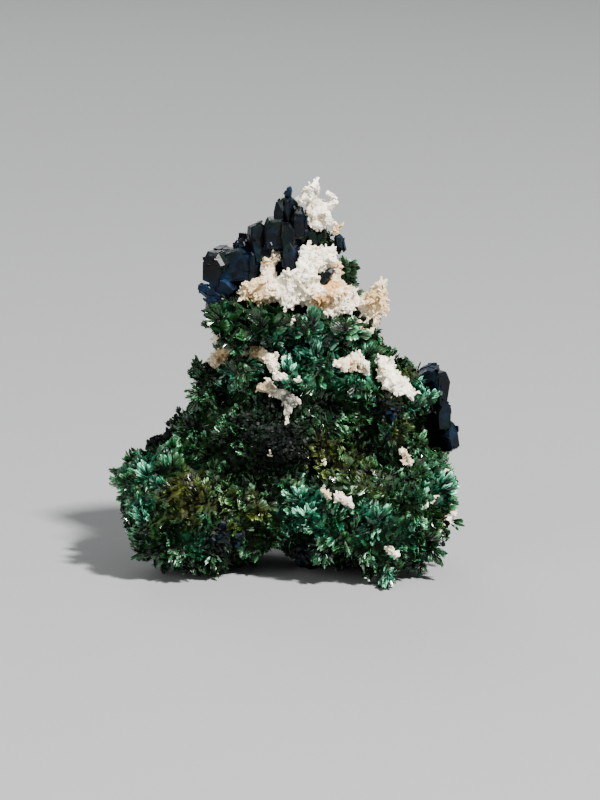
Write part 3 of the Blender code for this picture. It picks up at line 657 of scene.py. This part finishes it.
def make_ground(points, outer, triangles, material):
    """The ground that the fans stand on, in place of the solid's own faces."""
    rough = np.array([
        sum(share * noise.noise(Vector(p) / cell) for cell, share in SKIN_NOISE) for p in points
    ])
    ground = points - outer * (SKIN_SINK - SKIN_ROUGHNESS * rough)[:, None]
    ground[:, 2] = np.where(points[:, 2] < RESTING_HEIGHT, 0.0, np.maximum(ground[:, 2], 0.0))
    # Painted shade: the ground is darker where its noise sinks it deeper
    along = np.clip(0.6 + 0.5 * rough, 0, 1)
    tone = np.clip(0.4 + 0.3 * rough, 0, 1)
    attributes = tone_attributes(ground, along, tone)
    make_piece("malachite_ground", ground, triangles, material, attributes, (MASS,))


def solids_tree(nodes):
    """The faces of some solids, for rays and for how near they are."""
    points, triangles = joined([to_numpy(NODES[node].data)[::2] for node in nodes])
    return BVHTree.FromPolygons([Vector(p) for p in points], triangles.tolist())


def make_fans(points, outer, tree, material, rng):
    """Leaves, fibres and needles of malachite, in pieces of a size that is easy to handle."""
    minerals = solids_tree([node for node in sorted(NODES) if node != MASS])
    clear = np.array([minerals.find_nearest(Vector(p))[3] for p in points])
    made = scattered_leaves(points, outer, clear, rng) + placed_leaves(tree, rng)
    made = [one for one in made if not hides_a_crust(one, tree, minerals)]
    for number, start in enumerate(range(0, len(made), LEAVES_PER_PIECE)):
        leaves = [leaf(*values, rng) for values in made[start:start + LEAVES_PER_PIECE]]
        places = np.concatenate([np.repeat(one[0][len(one[0]) // 2][None], len(one[0]), 0) for one in leaves])
        corners, faces = joined([one[:2] for one in leaves])
        along = np.concatenate([one[2] for one in leaves])
        tone = np.concatenate([one[3] for one in leaves])
        make_piece(f"malachite_leaves_{number + 1}", kept_in_box(corners), faces, material,
                   tone_attributes(places, along, tone))
    parts = [fibres(*values, rng) for values in made]
    open_ground = np.where(clear > NEEDLE_CLEAR)[0]
    parts.append(needles(points[open_ground], outer[open_ground], rng))
    merged = [np.concatenate(values) for values in zip(*parts)]
    for number, start in enumerate(range(0, len(merged[0]), BLADES_PER_PIECE)):
        *shape, tone = [values[start:start + BLADES_PER_PIECE] for values in merged]
        corners, faces = blades(*shape)
        along = np.tile(BLADE_ALONG, len(tone))
        make_piece(f"malachite_fibres_{number + 1}", kept_in_box(corners), faces, material,
                   tone_attributes(corners[4::5], along, tone, 5))


def make_druse(points, outer, material, rng):
    """The dark grains between the fans, where the front is a fine druse."""
    weight = area_weight(points, "druse") ** 2 + GRAIN_ELSEWHERE
    picked = rng.choice(len(points), GRAINS, p=weight / weight.sum())
    size = rng.uniform(*GRAIN_SIZE, GRAINS)
    sizes = np.stack((size * 1.3, size, size * 0.8), 1)
    axes = unit(outer[picked] + unit(rng.normal(size=(GRAINS, 3))))
    corners, faces = blocks(points[picked] + outer[picked] * GRAIN_LIFT, axes, sizes, 0.3, rng)
    tone = rng.uniform(0.05, 0.4, GRAINS)
    attributes = tone_attributes(corners[::8], np.repeat(rng.uniform(0.2, 0.7, GRAINS), 8), tone, 8)
    make_piece("malachite_grains", kept_in_box(corners), faces, material, attributes)


def make_malachite(tree):
    """Everything on the green mass."""
    material = malachite_material("malachite", 0.05, 0.36, 0.6)
    dull = malachite_material("malachite_dull", 0.5, 0.7, 0.15)
    rng = np.random.default_rng(SEED)
    points, normals, triangles = remeshed(MASS, SKIN_VOXEL)
    outer = unit(smoothed(normals, triangles, SKIN_ROUNDS))
    make_ground(points, outer, triangles, dull)
    standing = points[:, 2] > BARE_HEIGHT
    make_fans(points[standing], outer[standing], tree, material, rng)
    make_druse(points[standing], outer[standing], dull, rng)


# White crusts and azurite

BLOCK = np.array([(x, y, z) for x in (-1, 1) for y in (-1, 1) for z in (-1, 1)], float)
BLOCK_FACES = np.array([
    (0, 1, 3), (0, 3, 2), (4, 6, 7), (4, 7, 5), (0, 4, 5), (0, 5, 1),
    (2, 3, 7), (2, 7, 6), (0, 2, 6), (0, 6, 4), (1, 5, 7), (1, 7, 3),
])


def blocks(centres, axes, sizes, lean, rng, side=None, taper=0.0):
    """Small leaning blocks, sized along, across and through their axes."""
    side = crossways(axes, rng) if side is None else side
    third = np.cross(axes, side)
    corners = BLOCK[None] * sizes[:, None, :]
    corners[:, :, 1:] *= (1 - taper * (1 + BLOCK[:, 0:1]) / 2)[None]
    corners[:, :, 1] += lean * corners[:, :, 0]
    points = (
        centres[:, None]
        + corners[:, :, 0:1] * axes[:, None]
        + corners[:, :, 1:2] * side[:, None]
        + corners[:, :, 2:3] * third[:, None]
    )
    triangles = (BLOCK_FACES[None] + 8 * np.arange(len(centres))[:, None, None]).reshape(-1, 3)
    return points.reshape(-1, 3), triangles


def joined(parts):
    """Points and triangles of several meshes as one."""
    points = np.concatenate([part[0] for part in parts])
    offsets = np.cumsum([0] + [len(part[0]) for part in parts[:-1]])
    triangles = np.concatenate([part[1] + offset for part, offset in zip(parts, offsets)])
    return points, triangles


def white_blocks(points, outer, count, rng):
    """Short tapering crystals with plain faces, sunk into a crust."""
    picked = rng.choice(len(points), count)
    axes = unit(outer[picked] + 0.8 * unit(rng.normal(size=(count, 3))))
    size = rng.uniform(*WHITE_BLOCK_SIZE, count)
    sizes = np.stack((size * rng.uniform(1.2, 2.4, count), size, size * rng.uniform(0.5, 0.9, count)), 1)
    centres = points[picked] - outer[picked] * (size * 1.1)[:, None]
    return blocks(centres, axes, sizes, 0.3, rng, taper=0.55)


def white_spears(points, outer, count, rng):
    """Pointed crystals that stand out of a crust."""
    picked = rng.choice(len(points), count)
    axes = unit(outer[picked] + 0.75 * unit(rng.normal(size=(count, 3))))
    length = rng.uniform(*WHITE_SPEAR_LENGTH, count)
    roots = points[picked] - outer[picked] * (0.55 * length)[:, None]
    return blades(roots, axes, crossways(axes, rng), length, length * rng.uniform(0.4, 0.62, count), 1.2)


def make_white(node, material, rng):
    """A fine crust in place of a solid: a knobbly body with many small blocky crystals on it."""
    points, normals, triangles = remeshed(node, WHITE_VOXEL)
    outer = unit(smoothed(normals, triangles, WHITE_ROUNDS))
    rough = np.array([
        sum(share * noise.voronoi(Vector(p) / cell)[0][0] for cell, share in WHITE_NOISE) for p in points
    ]) - WHITE_NOISE_MIDDLE
    body = points - outer * (WHITE_SINK + WHITE_ROUGHNESS * rough)[:, None]
    area = len(points) * WHITE_VOXEL ** 2
    parts = [(body, triangles), white_blocks(points, outer, int(area * WHITE_BLOCKS), rng)]
    parts.append(white_spears(points, outer, int(area * WHITE_SPEARS), rng))
    shape, faces = joined(parts)
    shape = kept_in_box(shape)
    attributes = {area: area_weight(shape, area) for area in ("stain", "cream", "grey")}
    make_piece(f"{node}_fine", shape, faces, material, attributes, (node,))


def make_azurite(node, material, rng):
    """Tabular crystals: the solids themselves with stepped faces, and small laths grown along their edges."""
    points, _, triangles = to_numpy(NODES[node].data)
    corners = points[triangles]
    area = np.linalg.norm(np.cross(corners[:, 1] - corners[:, 0], corners[:, 2] - corners[:, 0]), axis=1)
    count = int(min(area.sum() * LATHS, LATHS_MOST))
    picked = rng.choice(len(triangles), count, p=area / area.sum())
    mix = rng.dirichlet((0.6, 0.6, 0.6), count)
    corners = corners[picked]
    spots = (corners * mix[:, :, None]).sum(1)
    flat = unit(np.cross(corners[:, 1] - corners[:, 0], corners[:, 2] - corners[:, 0]))
    edge = unit(corners[:, 1] - corners[:, 0])
    steps = rng.random(count) < STEP_SHARE
    axes = np.where(steps[:, None], edge, unit(flat * 0.5 + unit(rng.normal(size=(count, 3)))))
    third = np.where(steps[:, None], flat, crossways(axes, rng))
    size = np.where(steps, rng.uniform(*STEP_SIZE, count), rng.uniform(*LATH_SIZE, count))
    sizes = np.stack((size * rng.uniform(1.0, 1.8, count), size, size * rng.uniform(0.2, 0.35, count)), 1)
    laths = blocks(spots, axes, sizes, 0.15, rng, np.cross(third, axes))
    shape, faces = joined([(points, triangles), laths])
    attributes = {area: area_weight(shape, area) for area in ("blue", "brown")}
    make_piece(f"{node}_fine", kept_in_box(shape), faces, material, attributes, (node,))


def on_the_mass(tree, pixels, lift):
    """Points a little in front of where pixels fall on the mass."""
    hits = [ray_hit(tree, right, down)[0] for right, down in pixels]
    return np.array([point + lift * TOWARDS for point in hits if point is not None])


def make_white_bits(tree, material, rng):
    """The tiny white crystals that lie among the green fans."""
    pixels = []
    for px, py, length, direction, number in WHITE_BITS:
        turn = math.radians(direction)
        for step in np.linspace(-0.5, 0.5, number):
            right = px + step * length * math.cos(turn) + rng.normal(0, WHITE_BIT_SCATTER_PX)
            down = py - step * length * math.sin(turn) + rng.normal(0, WHITE_BIT_SCATTER_PX)
            pixels.append((right, down))
    centres = on_the_mass(tree, pixels, BIT_LIFT)
    count = len(centres)
    axes = unit(rng.normal(size=(count, 3)))
    size = rng.uniform(*WHITE_BIT_SIZE, count)
    sizes = np.stack((size * 1.6, size, size * 0.7), 1)
    points, triangles = blocks(centres, axes, sizes, 0.3, rng, taper=0.4)
    empty = np.zeros(len(points))
    make_piece("white_bits", kept_in_box(points), triangles, material,
               {"stain": empty, "cream": empty + 0.3, "grey": empty})


def make_dark_bits(tree, material, rng):
    """The tiny azurite crystals near the lower edge and round the brown pit."""
    pixels = np.concatenate([
        rng.normal((px, py), spread * 0.5, (number, 2)) for px, py, spread, number in DARK_BITS
    ])
    centres = on_the_mass(tree, pixels, DARK_BIT_LIFT)
    count = len(centres)
    axes = unit(rng.normal(size=(count, 3)) + TOWARDS)
    size = rng.uniform(*DARK_BIT_SIZE, count)
    sizes = np.stack((size * 1.4, size, size * 0.5), 1)
    points, triangles = blocks(centres, axes, sizes, 0.2, rng, taper=0.3)
    shade = np.repeat(rng.uniform(0, 0.3, count), 8)
    make_piece("azurite_bits", kept_in_box(points), triangles, material,
               {"blue": shade, "brown": 0.3 * shade})


# Materials

class Nodes:
    """A material's node tree with short ways to add to it."""

    def __init__(self, name):
        self.material = bpy.data.materials.new(name)
        self.material.use_nodes = True
        self.tree = self.material.node_tree
        self.shader = self.tree.nodes["Principled BSDF"]

    def add(self, kind, inputs=(), **settings):
        """A node with its settings, and its inputs by number or name: values, or outputs to link."""
        node = self.tree.nodes.new(kind)
        for key, value in settings.items():
            setattr(node, key, value)
        for key, source in dict(inputs).items():
            if isinstance(source, bpy.types.NodeSocket):
                self.tree.links.new(source, node.inputs[key])
            elif isinstance(source, tuple):
                node.inputs[key].default_value = (*source, 1.0)
            else:
                node.inputs[key].default_value = source
        return node

    def value(self, name):
        return self.add("ShaderNodeAttribute", attribute_name=name).outputs["Fac"]

    def noise(self, cell, detail=4.0):
        """Noise whose patches are about a cell wide, in millimetres."""
        place = self.add("ShaderNodeTexCoord").outputs["Object"]
        inputs = {"Vector": place, "Scale": 1 / (cell * MM), "Detail": detail}
        return self.add("ShaderNodeTexNoise", inputs).outputs["Fac"]

    def ramp(self, source, stops):
        node = self.add("ShaderNodeValToRGB", {"Fac": source})
        elements = node.color_ramp.elements
        while len(elements) < len(stops):
            elements.new(0.5)
        for element, (place, colour) in zip(elements, stops):
            element.position = place
            element.color = (*colour, 1.0)
        return node.outputs["Color"]

    def maths(self, operation, first, second, clamp=False):
        settings = {"operation": operation, "use_clamp": clamp}
        return self.add("ShaderNodeMath", {0: first, 1: second}, **settings).outputs[0]

    def mix(self, share, first, second):
        """A colour between two. On this node the share is input 0, and the colours 6 and 7."""
        return self.add("ShaderNodeMix", {0: share, 6: first, 7: second}, data_type="RGBA").outputs[2]

    def level(self, source, low, high, start=0.0, end=1.0):
        """A number that goes from start to end while the source goes from low to high."""
        inputs = {0: source, 1: low, 2: high, 3: start, 4: end}
        return self.add("ShaderNodeMapRange", inputs, clamp=True).outputs[0]

    def finish(self, colour, roughness, **uniform):
        """Colour and roughness linked, and the rest of the shader's inputs as plain numbers."""
        self.tree.links.new(colour, self.shader.inputs["Base Color"])
        self.tree.links.new(roughness, self.shader.inputs["Roughness"])
        for key, number in uniform.items():
            self.shader.inputs[key.replace("_", " ")].default_value = number
        return self.material


def malachite_material(name, smoothest, roughest, specular):
    """Painted shade between the fibres, lighter towards their tips and a painted glint at the brightest end,
    with teal, olive and blue-black areas.
    """
    nodes = Nodes(name)
    light = nodes.maths("ADD", nodes.maths("MULTIPLY", nodes.value("tone"), TONE_GAIN), TONE_BASE)
    # How far along a point is darkens fibre roots and the ground's hollows: painted shade
    light = nodes.maths("MULTIPLY", nodes.value("along"), light)
    light = nodes.maths("ADD", light, nodes.level(nodes.noise(0.5), 0.3, 0.7, -0.064, 0.08), clamp=True)
    patchy = nodes.level(nodes.noise(1.6), 0.35, 0.65, -0.3, 0.3)
    areas = [
        (nodes.maths("ADD", nodes.value("teal"), patchy), 0.15, 0.8, 1.0, TEALS),
        (nodes.maths("SUBTRACT", nodes.value("olive"), patchy), 0.2, 0.9, 0.9, OLIVES),
        (nodes.value("druse"), 0.25, 0.9, 0.9, DARKS),
    ]
    colour = nodes.ramp(light, GREENS)
    for share, low, high, most, stops in areas:
        colour = nodes.mix(nodes.level(share, low, high, 0.0, most), colour, nodes.ramp(light, stops))
    roughness = nodes.level(nodes.noise(0.3), 0.35, 0.65, smoothest, roughest)
    return nodes.finish(colour, roughness, Specular_IOR_Level=specular)


def white_material():
    """Cloudy white crystals, cream, grey and stained in places."""
    nodes = Nodes("white_crystal")
    stain = nodes.level(nodes.noise(1.1), 0.3, 0.55, 0.3, 1.0)
    areas = [
        (nodes.value("cream"), 0.1, 0.9, CREAM),
        (nodes.value("grey"), 0.2, 0.9, GREY),
        (nodes.maths("MULTIPLY", nodes.value("stain"), stain), 0.15, 0.8, STAIN),
    ]
    colour = nodes.mix(nodes.level(nodes.noise(0.7, 6.0), 0.35, 0.65), WHITE, WHITE_DEEP)
    for share, low, high, tint in areas:
        colour = nodes.mix(nodes.level(share, low, high), colour, tint)
    nodes.shader.inputs["Subsurface Radius"].default_value = WHITE_SCATTER
    nodes.shader.inputs["Subsurface Scale"].default_value = 1.0
    roughness = nodes.level(nodes.noise(0.4), 0.3, 0.7, 0.3, 0.5)
    return nodes.finish(colour, roughness, Subsurface_Weight=0.25)


def azurite_material():
    """Nearly black crystals that show blue, green or brown on some faces."""
    nodes = Nodes("azurite")
    colour = nodes.ramp(nodes.noise(1.4), AZURITES)
    green = nodes.level(nodes.noise(1.7), 0.5, 0.62, 0.0, 0.8)
    colour = nodes.mix(green, colour, AZURITE_GREEN)
    patchy = nodes.level(nodes.noise(0.8), 0.35, 0.6, 0.35, 1.0)
    for area, low, tint in (("blue", 0.1, AZURITE_BLUE), ("brown", 0.15, AZURITE_BROWN)):
        share = nodes.maths("MULTIPLY", nodes.value(area), patchy)
        colour = nodes.mix(nodes.level(share, low, 0.9), colour, tint)
    roughness = nodes.level(nodes.noise(0.6), 0.35, 0.65, 0.24, 0.48)
    return nodes.finish(colour, roughness, Specular_IOR_Level=0.16)


def plain_material(name, colour, roughness):
    material = bpy.data.materials.new(name)
    material.use_nodes = True
    shader = material.node_tree.nodes["Principled BSDF"]
    shader.inputs["Base Color"].default_value = (*colour, 1.0)
    shader.inputs["Roughness"].default_value = roughness
    return material


# Stage, lights and camera

def make_stage():
    """A plain pale floor that fills the picture."""
    mesh = bpy.data.meshes.new("floor")
    corners = [(x * FLOOR_HALF, y * FLOOR_HALF, 0) for x, y in ((-1, -1), (1, -1), (1, 1), (-1, 1))]
    mesh.from_pydata(corners, [], [(0, 1, 2, 3)])
    mesh.materials.append(plain_material("floor", FLOOR_COLOUR, FLOOR_ROUGHNESS))
    floor = bpy.data.objects.new("floor", mesh)
    bpy.context.scene.collection.objects.link(floor)


def make_light(name, place, size, power, target):
    lamp = bpy.data.lights.new(name, "AREA")
    lamp.size = size
    lamp.energy = power
    obj = bpy.data.objects.new(name, lamp)
    bpy.context.scene.collection.objects.link(obj)
    obj.location = place
    obj.rotation_euler = (target - Vector(place)).to_track_quat("-Z", "Y").to_euler()


def make_world():
    world = bpy.data.worlds.new("world")
    world.use_nodes = True
    background = world.node_tree.nodes["Background"]
    background.inputs["Color"].default_value = (*WORLD_COLOUR, 1.0)
    background.inputs["Strength"].default_value = WORLD_STRENGTH
    bpy.context.scene.world = world


def make_camera():
    """The photograph's view: the picture's middle at the specimen's depth, from a little above."""
    camera = bpy.data.cameras.new("camera")
    camera.lens = CAMERA_LENS
    camera.sensor_width = CAMERA_SENSOR
    obj = bpy.data.objects.new("camera", camera)
    bpy.context.scene.collection.objects.link(obj)
    target = Vector(seen(*IMAGE_CENTRE) * MM)
    distance = IMAGE_HEIGHT * PIXEL * MM * CAMERA_LENS / CAMERA_SENSOR
    obj.location = target - AWAY * distance
    obj.rotation_euler = AWAY.to_track_quat("-Z", "Y").to_euler()
    bpy.context.scene.camera = obj
    return target


def main():
    tree = solids_tree([MASS])
    make_malachite(tree)
    rng = np.random.default_rng(SEED + 1)
    white = white_material()
    for node in sorted(NODES):
        if node.startswith(("white", "grey")):
            make_white(node, white, rng)
    azurite = azurite_material()
    for node in sorted(NODES):
        if node.startswith("azurite"):
            make_azurite(node, azurite, rng)
    make_white_bits(tree, white, rng)
    make_dark_bits(tree, azurite, rng)
    make_stage()
    make_world()
    target = make_camera()
    for name, place, size, power in LIGHTS:
        make_light(name, place, size, power, target)


main()
